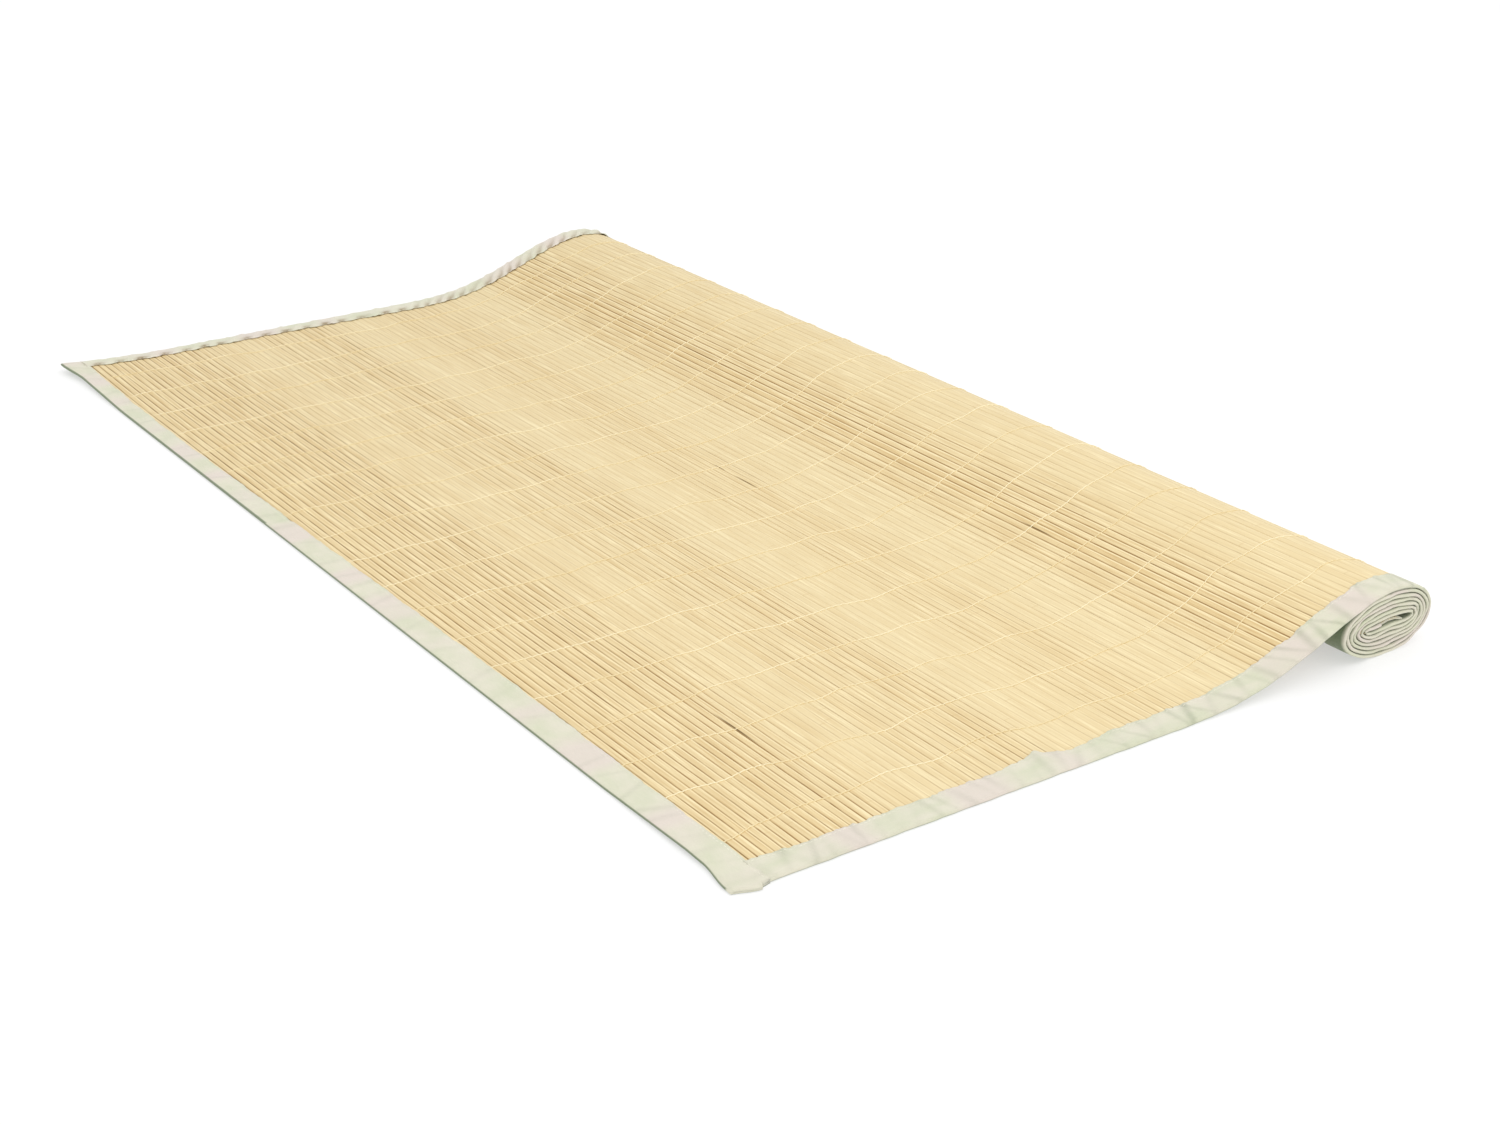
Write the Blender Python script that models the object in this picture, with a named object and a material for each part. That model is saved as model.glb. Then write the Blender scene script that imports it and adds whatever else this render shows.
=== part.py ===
# Bamboo mat with one end wound into an oval roll. Flat bamboo slats lie side by side across the
# mat, woven into one sheet, and a cloth binding is folded round each edge and sewn down. The open
# part lies on the floor, rises over the roll and goes down its far side as the outer turn.
# X runs from the free front edge to the roll, Y along the slats and Z up. Lengths are in metres,
# and at the end everything is moved so that the origin is at the middle of the underside.

import math

import bmesh
import bpy
from mathutils import Vector

# The sheet of slats
MAT_WIDTH = 1.200
SLAT_THICK = 0.0015
SLAT_PITCH = 0.0066
JOINT_HALF_WIDTH = 0.0006
JOINT_DEPTH = 0.0005

# The bindings
BINDING_WIDTH = 0.024
BINDING_WALL = 0.0004
BINDING_FLAP = 0.005
CLEARANCE = 0.0003

# The rise from the floor to the top of the roll
RISE_START = 0.370
RISE_POWER = 1.5

# The roll: the oval of the outer turn's middle, and the flat core that the turns close up to
ROLL_CENTRE = 0.5913
ROLL_HALF_WIDTH = 0.0484
ROLL_HALF_HEIGHT = 0.0265
ROLL_LEAN = 0.007
CORE_HALF_WIDTH = 0.025
CORE_HALF_HEIGHT = 0.0015
CORE_SHIFT = 0.002
CORE_TILT = math.radians(3.0)
CORE_SPREAD = 1.5
TURNS = 7.0
CLOSE_TURN = 0.86

# The grooves that part the turns in the roll's end faces, and the slit at the core
GROOVE_WIDTH = 0.0005
GROOVE_DEPTH = 0.004
GROOVE_FIRST_TURN = 0.95
GROOVE_LAST_TURN = 6.95
GROOVE_STEPS = 20
GROOVE_NUDGE = 0.001
SLIT_HALF_WIDTH = 0.021
SLIT_HALF_HEIGHT = 0.0007
SLIT_STEPS = 12

# How unevenly the mat lies: a far front corner that lifts, a low bow near the front corner, and
# a roll that is a little tighter at its far end. A row is a place along Y and its share.
CORNER_LIFT = 0.005
CORNER_REACH = 0.110
CORNER_ROWS = ((1.050, 0.0), (MAT_WIDTH, 1.0))
BOW_LIFT = 0.002
BOW_REACH = 0.090
BOW_ROWS = ((0.0, 0.0), (0.060, 1.0), (0.160, 0.0))
BEND_SLATS = (0, 1, 2, 3, 4, 6, 8, 10, 12, 14, 16)
TIGHTER = 0.07
TIGHTER_FROM = 0.50
TIGHTER_TO = 0.60

# How finely the path of the sheet is stepped
PATH_STEP = 0.0005
SLATS_PER_RISE_STEP = 2

HALF_SLAT = SLAT_THICK / 2
HALF_POCKET = HALF_SLAT + CLEARANCE
HALF_BINDING = HALF_POCKET + BINDING_WALL
SLAT_INSET = BINDING_WALL + CLEARANCE
BINDING_INSET = BINDING_WIDTH + CLEARANCE
POCKET_END = 0.530
BEYOND = 0.010
FOLD_STEPS = 6
WELD_DISTANCE = 0.000001

SLAT_COLOUR = (0.84, 0.69, 0.40)
BINDING_COLOUR = (0.81, 0.77, 0.62)


# The path of the sheet

def smooth(share):
    share = min(max(share, 0.0), 1.0)
    return share * share * (3 - 2 * share)


def oval_offset(angle):
    lean = ROLL_LEAN * max(math.sin(angle), 0.0) ** 2
    return Vector((ROLL_HALF_WIDTH * math.cos(angle) + lean, ROLL_HALF_HEIGHT * math.sin(angle)))


def core_offset(angle):
    along = CORE_HALF_WIDTH * math.tanh(CORE_SPREAD * math.cos(angle)) / math.tanh(CORE_SPREAD)
    across = CORE_HALF_HEIGHT * math.sin(angle)
    cosine, sine = math.cos(CORE_TILT), math.sin(CORE_TILT)
    return Vector((along * cosine - across * sine + CORE_SHIFT, along * sine + across * cosine))


# Turn 0 is the top of the roll, and the sheet goes down the far side from there
def turn_offset(turn):
    angle = math.pi / 2 - 2 * math.pi * turn
    return oval_offset(angle).lerp(core_offset(angle), turn / TURNS)


def roll_middle():
    return Vector((ROLL_CENTRE, HALF_BINDING - turn_offset(0.5)[1]))


def turn_point(turn):
    return roll_middle() + turn_offset(turn)


def rise_point(share):
    top = turn_point(0.0)
    height = HALF_BINDING + (top[1] - HALF_BINDING) * smooth(share ** RISE_POWER)
    return Vector((RISE_START + (top[0] - RISE_START) * share, height))


class Path:
    # The middle of the sheet, from the front edge to where the outer turn closes, as fine steps
    def __init__(self):
        rise_steps = round((turn_point(0.0)[0] - RISE_START) / PATH_STEP)
        turn_steps = round(4 * ROLL_HALF_WIDTH / PATH_STEP)
        self.points = [Vector((0.0, HALF_BINDING))]
        self.points += [rise_point(step / rise_steps) for step in range(rise_steps)]
        self.points += [turn_point(step / turn_steps) for step in range(turn_steps + 1)]
        self.reach = [0.0]
        for before, after in zip(self.points, self.points[1:]):
            self.reach.append(self.reach[-1] + (after - before).length)
        self.top = self.reach[1 + rise_steps]
        self.close = self.reach[1 + rise_steps + round(CLOSE_TURN * turn_steps)]

    # The point at a reach along the sheet, moved out towards the slats' upper face
    def at(self, reach, out):
        step = 0
        while step < len(self.reach) - 2 and self.reach[step + 1] <= reach:
            step += 1
        here, there = self.points[step], self.points[step + 1]
        ahead = (there - here).normalized()
        share = (reach - self.reach[step]) / (self.reach[step + 1] - self.reach[step])
        return here.lerp(there, share) + Vector((-ahead[1], ahead[0])) * out


PATH = Path()


# A line beside the sheet's middle, with a point every few slats where it is curved
def plain_line(start, end, out):
    steps = [start]
    for slat in range(math.ceil(RISE_START / SLAT_PITCH), math.floor(end / SLAT_PITCH)):
        stride = SLATS_PER_RISE_STEP if slat * SLAT_PITCH < PATH.top else 1
        if slat % stride == 0:
            steps.append(slat * SLAT_PITCH)
    return [PATH.at(reach, out) for reach in steps + [end]]


# The slats' upper face, with a shallow joint between each slat and the next
def slatted_line(start, end):
    line = [PATH.at(start, HALF_SLAT)]
    slat = math.ceil(start / SLAT_PITCH + 0.5)
    while slat * SLAT_PITCH + JOINT_HALF_WIDTH < end:
        middle = slat * SLAT_PITCH
        line.append(PATH.at(middle - JOINT_HALF_WIDTH, HALF_SLAT))
        line.append(PATH.at(middle, HALF_SLAT - JOINT_DEPTH))
        line.append(PATH.at(middle + JOINT_HALF_WIDTH, HALF_SLAT))
        slat += 1
    return line + [PATH.at(end, HALF_SLAT)]


def height_at(across, out):
    line = plain_line(0.0, PATH.top, out)
    for before, after in zip(line, line[1:]):
        if before[0] <= across <= after[0]:
            return before[1] + (after[1] - before[1]) * (across - before[0]) / (after[0] - before[0])
    raise ValueError("no such place on the rise")


# The underside up to a place along X, ending there
def under_line(start, across, out):
    line = [point for point in plain_line(start, PATH.top, out) if point[0] < across]
    return line + [Vector((across, height_at(across, out)))]


# Closes an outline where the outer turn, coming up the roll's near side, goes under the sheet
def wound_outline(upper, start, out):
    return upper + under_line(start, upper[-1][0], out)[::-1]


# Making, cutting and bending solids

def remove_startup_objects():
    for item in list(bpy.data.objects):
        bpy.data.objects.remove(item, do_unlink=True)


def new_collection(name):
    collection = bpy.data.collections.new(name)
    bpy.context.scene.collection.children.link(collection)
    return collection


def new_material(name, colour, roughness):
    material = bpy.data.materials.new(name)
    material.use_nodes = True
    shader = material.node_tree.nodes["Principled BSDF"]
    shader.inputs["Base Color"].default_value = (*colour, 1.0)
    shader.inputs["Roughness"].default_value = roughness
    shader.inputs["Metallic"].default_value = 0.0
    return material


# An outline in X and Z, given its length along Y: a filled 2D curve, stood upright
def prism(name, outline, low, high, collection):
    curve = bpy.data.curves.new(name + "_outline", "CURVE")
    curve.dimensions = "2D"
    curve.fill_mode = "BOTH"
    curve.extrude = (high - low) / 2
    spline = curve.splines.new("POLY")
    spline.points.add(len(outline) - 1)
    for point, place in zip(spline.points, outline):
        point.co = (place[0], place[1], 0.0, 1.0)
    spline.use_cyclic_u = True
    drawn = bpy.data.objects.new(name + "_outline", curve)
    drawn.location = (0.0, (low + high) / 2, 0.0)
    drawn.rotation_euler = (math.pi / 2, 0.0, 0.0)
    bpy.context.scene.collection.objects.link(drawn)
    bpy.context.view_layer.update()
    depsgraph = bpy.context.evaluated_depsgraph_get()
    mesh = bpy.data.meshes.new_from_object(drawn.evaluated_get(depsgraph))
    mesh.transform(drawn.matrix_world)
    bpy.data.objects.remove(drawn, do_unlink=True)
    bpy.data.curves.remove(curve)
    weld(mesh)
    solid = bpy.data.objects.new(name, mesh)
    collection.objects.link(solid)
    return solid


def weld(mesh):
    shape = bmesh.new()
    shape.from_mesh(mesh)
    bmesh.ops.remove_doubles(shape, verts=shape.verts, dist=WELD_DISTANCE)
    bmesh.ops.recalc_face_normals(shape, faces=shape.faces)
    shape.to_mesh(mesh)
    shape.free()


def cutter(name, outline, low, high):
    solid = prism(name, outline, low, high, CUTTERS)
    solid.hide_render = True
    solid.display_type = "WIRE"
    return solid


def cut(solid, tools):
    for tool in tools:
        boolean = solid.modifiers.new("cut_" + tool.name, "BOOLEAN")
        boolean.operation = "DIFFERENCE"
        boolean.solver = "EXACT"
        boolean.object = tool
    bpy.context.view_layer.update()
    depsgraph = bpy.context.evaluated_depsgraph_get()
    result = bpy.data.meshes.new_from_object(solid.evaluated_get(depsgraph))
    solid.modifiers.clear()
    solid.data = result
    weld(result)


def share_at(rows, place):
    if place <= rows[0][0]:
        return rows[0][1]
    for (start, low), (end, high) in zip(rows, rows[1:]):
        if place <= end:
            return low + (high - low) * (place - start) / (end - start)
    return rows[-1][1]


def lie_unevenly(point):
    across, along = point[0], point[1]
    corner = max(1 - across / CORNER_REACH, 0.0) ** 2 * share_at(CORNER_ROWS, along)
    bow = max(1 - across / BOW_REACH, 0.0) ** 2 * share_at(BOW_ROWS, along)
    wound = smooth((across - TIGHTER_FROM) / (TIGHTER_TO - TIGHTER_FROM))
    tighter = TIGHTER * max(along, 0.0) / MAT_WIDTH * wound
    return point[2] * (1 - tighter) + CORNER_LIFT * corner + BOW_LIFT * bow


def bend(solid):
    shape = bmesh.new()
    shape.from_mesh(solid.data)
    rows = [place for place, _ in BOW_ROWS + CORNER_ROWS if 0.0 < place < MAT_WIDTH]
    cuts = [((0, row, 0), (0, 1, 0)) for row in rows]
    cuts += [(((slat + 0.5) * SLAT_PITCH, 0, 0), (1, 0, 0)) for slat in BEND_SLATS]
    for place, facing in cuts:
        everything = shape.verts[:] + shape.edges[:] + shape.faces[:]
        bmesh.ops.bisect_plane(
            shape, geom=everything, dist=WELD_DISTANCE, plane_co=place, plane_no=facing)
    for vertex in shape.verts:
        vertex.co[2] = lie_unevenly(vertex.co)
    shape.to_mesh(solid.data)
    shape.free()


def finish(solid, material):
    bend(solid)
    solid.data.materials.clear()
    solid.data.materials.append(material)


# The pieces

def make_slat_sheet():
    outline = wound_outline(slatted_line(SLAT_INSET, PATH.close), SLAT_INSET, -HALF_SLAT)
    sheet = prism("slat_sheet", outline, SLAT_INSET, MAT_WIDTH - SLAT_INSET, MAT)
    far_side, above = turn_point(0.25)[0] + BEYOND, turn_point(0.0)[1] + BEYOND
    step = [(POCKET_END, -BEYOND), (far_side, -BEYOND), (far_side, above), (POCKET_END, above)]
    near = cutter("near_step_cutter", step, -BEYOND, BINDING_INSET)
    far = cutter("far_step_cutter", step, MAT_WIDTH - BINDING_INSET, MAT_WIDTH + BEYOND)
    cut(sheet, [near, far])
    return sheet


# The pocket that the slats' ends lie in, as far as the rise goes
def pocket_outline():
    start, stop = BINDING_WIDTH / 2, POCKET_END + CLEARANCE
    return under_line(start, stop, HALF_POCKET) + under_line(start, stop, -HALF_POCKET)[::-1]


def groove_outline():
    first, last = round(GROOVE_FIRST_TURN * GROOVE_STEPS), round(GROOVE_LAST_TURN * GROOVE_STEPS)
    inner, outer = [], []
    for step in range(first, last + 1):
        turn = step / GROOVE_STEPS
        ahead = (turn_point(turn + GROOVE_NUDGE) - turn_point(turn - GROOVE_NUDGE)).normalized()
        out = Vector((-ahead[1], ahead[0]))
        inner.append(turn_point(turn) + out * HALF_BINDING)
        outer.append(turn_point(turn) + out * (HALF_BINDING + GROOVE_WIDTH))
    return outer + inner[::-1]


def slit_outline():
    middle = roll_middle() + Vector((CORE_SHIFT, 0.0))
    ahead = Vector((math.cos(CORE_TILT), math.sin(CORE_TILT)))
    up = Vector((-ahead[1], ahead[0]))
    outline = []
    for step in range(SLIT_STEPS):
        angle = 2 * math.pi * step / SLIT_STEPS
        along = ahead * SLIT_HALF_WIDTH * math.cos(angle)
        outline.append(middle + along + up * SLIT_HALF_HEIGHT * math.sin(angle))
    return outline


# The near binding: folded round the slats' ends along the open part, and wound with them
def make_near_binding():
    upper = plain_line(BINDING_INSET, PATH.close, HALF_BINDING)
    outline = wound_outline(upper, BINDING_INSET, -HALF_BINDING)
    binding = prism("near_binding", outline, 0.0, BINDING_WIDTH, MAT)
    tools = [
        cutter("pocket_cutter", pocket_outline(), BINDING_WALL, BINDING_WIDTH + BEYOND),
        cutter("groove_cutter", groove_outline(), -BEYOND, GROOVE_DEPTH),
        cutter("slit_cutter", slit_outline(), -BEYOND, GROOVE_DEPTH),
    ]
    cut(binding, tools)
    return binding


# The far binding is the near one's mirror image
def make_far_binding(near):
    mesh = near.data.copy()
    for vertex in mesh.vertices:
        vertex.co[1] = MAT_WIDTH - vertex.co[1]
    mesh.flip_normals()
    binding = bpy.data.objects.new("far_binding", mesh)
    MAT.objects.link(binding)
    return binding


# The front binding runs past the near one, and its folded end makes the corner's small flap
def make_front_binding():
    fold = []
    for step in range(FOLD_STEPS + 1):
        angle = math.pi / 2 + math.pi * step / FOLD_STEPS
        fold.append((HALF_BINDING * (1 + math.cos(angle)), HALF_BINDING * (1 + math.sin(angle))))
    outline = fold + [(BINDING_WIDTH, 0.0), (BINDING_WIDTH, 2 * HALF_BINDING)]
    binding = prism("front_binding", outline, -BINDING_FLAP, MAT_WIDTH, MAT)
    floor, ceiling = HALF_BINDING - HALF_POCKET, HALF_BINDING + HALF_POCKET
    far = BINDING_WIDTH + BEYOND
    pocket = [(BINDING_WALL, floor), (far, floor), (far, ceiling), (BINDING_WALL, ceiling)]
    cut(binding, [cutter("front_pocket_cutter", pocket, BINDING_WALL, MAT_WIDTH - BINDING_WALL)])
    return binding


# Moves everything so that the origin is at the middle of the underside
def set_origin():
    places = [vertex.co for solid in MAT.objects for vertex in solid.data.vertices]
    low = [min(place[axis] for place in places) for axis in range(3)]
    high = [max(place[axis] for place in places) for axis in range(3)]
    shift = Vector((-(low[0] + high[0]) / 2, -(low[1] + high[1]) / 2, -low[2]))
    for solid in list(MAT.objects) + list(CUTTERS.objects):
        for vertex in solid.data.vertices:
            vertex.co += shift
    print("moved by", [round(value, 5) for value in shift])


remove_startup_objects()
MAT = new_collection("bamboo_mat")
CUTTERS = new_collection("cutters")

slat_sheet = make_slat_sheet()
near_binding = make_near_binding()
far_binding = make_far_binding(near_binding)
front_binding = make_front_binding()
finish(slat_sheet, new_material("bamboo", SLAT_COLOUR, 0.5))
finish(near_binding, new_material("near_cloth", BINDING_COLOUR, 0.9))
finish(far_binding, new_material("far_cloth", BINDING_COLOUR, 0.9))
finish(front_binding, new_material("front_cloth", BINDING_COLOUR, 0.9))
set_origin()
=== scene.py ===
# Bamboo mat: the looks. The mat is made flat, as it is woven and sewn, and then wound into place.
# Flat places are (along the mat from its front edge, along the slats, height above the middle).

import math

import bmesh
import bpy
import numpy as np
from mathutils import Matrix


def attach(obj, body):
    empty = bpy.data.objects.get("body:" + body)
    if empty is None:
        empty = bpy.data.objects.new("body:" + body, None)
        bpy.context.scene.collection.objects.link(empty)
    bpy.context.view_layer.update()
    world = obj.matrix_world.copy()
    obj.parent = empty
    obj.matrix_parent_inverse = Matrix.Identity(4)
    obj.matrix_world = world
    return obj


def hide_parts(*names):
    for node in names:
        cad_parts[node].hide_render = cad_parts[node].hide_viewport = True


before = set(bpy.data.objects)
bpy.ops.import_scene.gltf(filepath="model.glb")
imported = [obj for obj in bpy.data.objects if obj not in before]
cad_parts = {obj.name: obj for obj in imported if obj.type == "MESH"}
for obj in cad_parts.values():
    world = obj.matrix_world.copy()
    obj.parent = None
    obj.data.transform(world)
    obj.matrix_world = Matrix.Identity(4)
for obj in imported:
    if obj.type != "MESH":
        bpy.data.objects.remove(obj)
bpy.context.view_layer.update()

mat = {
    "width": 1.200,
    "slatThick": 0.0015,
    "slatPitch": 0.0066,
    "firstSlat": 0.0009,
    "middleHeight": 0.00145,       # the sheet's middle above the floor, where it lies flat
    "origin": (-0.32019, -0.5975),   # the front edge and the near fold, in the row frame
}

winding = {
    "riseStart": 0.370,
    "risePower": 1.5,
    "rollCentre": 0.5913,
    "halfWidth": 0.0484,
    "halfHeight": 0.0265,
    "lean": 0.007,
    "coreHalfWidth": 0.025,
    "coreHalfHeight": 0.0015,
    "coreShift": 0.002,
    "coreTilt": math.radians(3.0),
    "coreSpread": 1.5,
    "turns": 7.0,
    "tongue": 0.0150,              # the sheet's last stretch, which fills the middle
    "tongueDrop": 0.0016,
    "coreWave": 0.0009,
    "coreWaveLength": 0.036,
    "coreWaveHeight": 0.014,
    "coreWaveReach": 0.040,
    "coreWaveFade": 0.015,
    "coreWaveShift": 0.004,
    "riseSteps": 500,
    "stepsPerTurn": 400,
    "tongueSteps": 30,
    "wedgeTurns": (0.48, 0.56, 0.88, 0.97),   # the stretch that faces the wedge under the rise
    "roomEvery": 8,
    "sameTurn": 0.02,              # points of the path this near each other lie on one turn
}

lay = {
    "cornerLift": 0.0056,
    "cornerReach": 0.110,
    "cornerRows": ((1.050, 0.0), (1.200, 1.0)),
    "bowLift": 0.002,
    "bowReach": 0.090,
    "bowRows": ((0.0, 0.0), (0.060, 1.0), (0.160, 0.0)),
    "cornerRound": 0.006,          # how far the folded near corner is rounded off
    "roundReach": 0.016,
    "roundFrom": 0.030,
    "roundFade": 0.035,
    "nearFlare": 0.0042,           # how far the corners stand out in front
    "nearFlareFrom": 0.040,
    "nearFlareFade": 0.032,
    "farFlare": 0.0052,
    "farFlareFrom": 1.150,
    "farFlareFade": 0.05,
    "flareReach": 0.022,
    "tighter": 0.07,
    "tighterFrom": 0.50,
    "tighterTo": 0.60,
}


# The winding: the middle of the sheet from the front edge to the middle of the roll

def smooth(share):
    share = np.clip(share, 0.0, 1.0)
    return share * share * (3 - 2 * share)


def turnPoint(turn):
    angle = math.pi / 2 - 2 * math.pi * turn
    lean = winding["lean"] * np.maximum(np.sin(angle), 0.0) ** 2
    outerX = winding["halfWidth"] * np.cos(angle) + lean
    outer = np.stack((outerX, winding["halfHeight"] * np.sin(angle)), -1)
    spread = winding["coreSpread"]
    along = winding["coreHalfWidth"] * np.tanh(spread * np.cos(angle)) / math.tanh(spread)
    across = winding["coreHalfHeight"] * np.sin(angle)
    cosine, sine = math.cos(winding["coreTilt"]), math.sin(winding["coreTilt"])
    coreX = along * cosine - across * sine + winding["coreShift"]
    core = np.stack((coreX, along * sine + across * cosine), -1)
    share = np.asarray(turn)[..., None] / winding["turns"]
    return outer + (core - outer) * share


def sheetPath():
    bottom = turnPoint(np.array([0.5]))[0][1]
    middle = np.array([winding["rollCentre"], mat["middleHeight"] - bottom])
    top = middle + turnPoint(np.array([0.0]))[0]
    share = np.arange(winding["riseSteps"]) / winding["riseSteps"]
    across = winding["riseStart"] + (top[0] - winding["riseStart"]) * share
    height = mat["middleHeight"] + (top[1] - mat["middleHeight"]) * smooth(share ** winding["risePower"])
    turns = np.arange(round(winding["turns"] * winding["stepsPerTurn"]) + 1) / winding["stepsPerTurn"]
    wound = turnPoint(turns)
    share = np.arange(1, winding["tongueSteps"] + 1)[:, None] / winding["tongueSteps"]
    tongue = wound[-1] + share * (winding["tongue"], 0.0) + share ** 2 * (0.0, -winding["tongueDrop"])
    wound = np.vstack((wound, tongue))
    inner = np.exp(-(wound[:, 1] / winding["coreWaveHeight"]) ** 2)
    inner = inner * smooth((winding["coreWaveReach"] - np.abs(wound[:, 0])) / winding["coreWaveFade"])
    phase = 2 * math.pi * (wound[:, 0] + winding["coreWaveShift"]) / winding["coreWaveLength"]
    wound[:, 1] += winding["coreWave"] * inner * np.sin(phase)
    points = np.vstack(([[0.0, mat["middleHeight"]]], np.stack((across, height), -1), middle + wound))
    reach = np.concatenate(([0.0], np.cumsum(np.linalg.norm(np.diff(points, axis=0), axis=1))))
    ahead = np.gradient(points, reach, axis=0)
    ahead /= np.linalg.norm(ahead, axis=1)[:, None]
    return points, reach, ahead


pathPoints, pathReach, pathAhead = sheetPath()
matLength = float(pathReach[-1])
rollStart = float(pathReach[1 + winding["riseSteps"]])   # where the sheet reaches the top of the roll
print("path: %.4f m long, on top of the roll at %.4f m" % (matLength, rollStart))


def reachAtTurn(turn):
    return float(pathReach[1 + winding["riseSteps"] + round(turn * winding["stepsPerTurn"])])


wedge = [reachAtTurn(turn) for turn in winding["wedgeTurns"]]


# Half the room that the binding has between one turn and the next, at each point of the path
def roomBetweenTurns():
    first = 1 + winding["riseSteps"]
    points = pathPoints[first::winding["roomEvery"]]
    reach = pathReach[first::winding["roomEvery"]]
    apart = np.linalg.norm(points[:, None] - points[None], axis=2)
    apart[np.abs(reach[:, None] - reach[None]) < winding["sameTurn"]] = 1.0
    return reach, apart.min(axis=1) / 2


roomReach, roomHalf = roomBetweenTurns()


def shareAt(rows, place):
    return np.interp(place, [row[0] for row in rows], [row[1] for row in rows])


def readPlaces(mesh):
    places = np.empty(len(mesh.vertices) * 3)
    mesh.vertices.foreach_get("co", places)
    return places.reshape(-1, 3)


def writePlaces(mesh, places):
    mesh.vertices.foreach_set("co", places.ravel())


# Winds a flat mesh into the row frame, with the same uneven lie as the solids
def windUp(mesh):
    along, width, out = readPlaces(mesh).T
    aheadX = np.interp(along, pathReach, pathAhead[:, 0])
    aheadZ = np.interp(along, pathReach, pathAhead[:, 1])
    length = np.hypot(aheadX, aheadZ)
    atCorner = 1 - smooth(along / lay["roundReach"])
    nearFold = smooth((lay["roundFrom"] - width) / lay["roundFade"])
    width = width + lay["cornerRound"] * atCorner * nearFold
    x = np.interp(along, pathReach, pathPoints[:, 0]) - out * aheadZ / length + np.minimum(along, 0.0)
    flare = lay["nearFlare"] * smooth((lay["nearFlareFrom"] - width) / lay["nearFlareFade"])
    flare = flare + lay["farFlare"] * smooth((width - lay["farFlareFrom"]) / lay["farFlareFade"])
    x = x - flare * (1 - smooth(along / lay["flareReach"]))
    z = np.interp(along, pathReach, pathPoints[:, 1]) + out * aheadX / length
    wound = smooth((x - lay["tighterFrom"]) / (lay["tighterTo"] - lay["tighterFrom"]))
    corner = np.maximum(1 - x / lay["cornerReach"], 0.0) ** 2 * shareAt(lay["cornerRows"], width)
    bow = np.maximum(1 - x / lay["bowReach"], 0.0) ** 2 * shareAt(lay["bowRows"], width)
    z = z * (1 - lay["tighter"] * np.maximum(width, 0.0) / mat["width"] * wound)
    z = z + lay["cornerLift"] * corner + lay["bowLift"] * bow
    x, width = x + mat["origin"][0], width + mat["origin"][1]
    writePlaces(mesh, np.stack((x, width, np.maximum(z, 0.0)), -1))
    mesh.update()


# Building node trees

def addNode(tree, kind, inputs=None, **settings):
    made = tree.nodes.new(kind)
    for name, value in settings.items():
        setattr(made, name, value)
    for name, value in (inputs or {}).items():
        if isinstance(value, bpy.types.NodeSocket):
            tree.links.new(value, made.inputs[name])
        else:
            made.inputs[name].default_value = value
    return made


def sums(tree, operation, first, second=0.0):
    return addNode(tree, "ShaderNodeMath", {0: first, 1: second}, operation=operation).outputs[0]


def plus(tree, first, second):
    return sums(tree, "ADD", first, second)


def minus(tree, first, second):
    return sums(tree, "SUBTRACT", first, second)


def times(tree, first, second):
    return sums(tree, "MULTIPLY", first, second)


def over(tree, first, second):
    return sums(tree, "DIVIDE", first, second)


def apartFrom(tree, first, second):
    return sums(tree, "ABSOLUTE", minus(tree, first, second))


def joinXyz(tree, x=0.0, y=0.0, z=0.0):
    return addNode(tree, "ShaderNodeCombineXYZ", {0: x, 1: y, 2: z}).outputs[0]


def splitXyz(tree, vector):
    return addNode(tree, "ShaderNodeSeparateXYZ", {0: vector}).outputs


def mapRange(tree, value, fromMin=0.0, fromMax=1.0, toMin=0.0, toMax=1.0):
    return addNode(tree, "ShaderNodeMapRange", {"Value": value, "From Min": fromMin, "From Max": fromMax,
                                                "To Min": toMin, "To Max": toMax}).outputs[0]


# Noise at a place that is already scaled, so that each direction can have its own scale
def noiseAt(tree, place, detail=2.0, roughness=0.5):
    return addNode(tree, "ShaderNodeTexNoise",
                   {"Vector": place, "Scale": 1.0, "Detail": detail, "Roughness": roughness}).outputs


def pointPlace(tree):
    return splitXyz(tree, tree.nodes.new("GeometryNodeInputPosition").outputs[0])


def randomBetween(tree, least, most, seed):
    return addNode(tree, "FunctionNodeRandomValue", {2: least, 3: most, "Seed": seed}).outputs[1]


def shape(tree, kind, inputs, **settings):
    return addNode(tree, "GeometryNode" + kind, inputs, **settings).outputs[0]


def storeValue(tree, geometry, name, value, domain, kind="FLOAT"):
    inputs = {"Geometry": geometry, "Name": name, "Value": value}
    return shape(tree, "StoreNamedAttribute", inputs, data_type=kind, domain=domain)


# A round thread along a curve
def tubeAlong(tree, curve, radius, sides):
    ring = shape(tree, "CurvePrimitiveCircle", {"Resolution": sides, "Radius": radius})
    return shape(tree, "CurveToMesh", {"Curve": curve, "Profile Curve": ring, "Fill Caps": True})


# Ends a tree: a surface map for the material, real faces and the material itself
def endTree(tree, geometry, place, material, result):
    mapped = storeValue(tree, geometry, "surface", joinXyz(tree, *place), "CORNER", "FLOAT2")
    real = shape(tree, "RealizeInstances", {"Geometry": mapped})
    painted = shape(tree, "SetMaterial", {"Geometry": real, "Material": material})
    tree.links.new(painted, result.inputs[0])


# A tree whose inputs are a count, a material and the values of a run, by the run's own names
def newTree(name, run):
    tree = bpy.data.node_groups.new(name, "GeometryNodeTree")
    tree.interface.new_socket("Geometry", in_out="OUTPUT", socket_type="NodeSocketGeometry")
    kinds = {"Geometry": "Geometry", "Count": "Int", "Material": "Material"}
    kinds.update({label: "Int" if isinstance(value, int) else "Float" for label, value in run.items()})
    for label, kind in kinds.items():
        tree.interface.new_socket(label, in_out="INPUT", socket_type="NodeSocket" + kind)
    return tree, tree.nodes.new("NodeGroupInput").outputs, tree.nodes.new("NodeGroupOutput")


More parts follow.
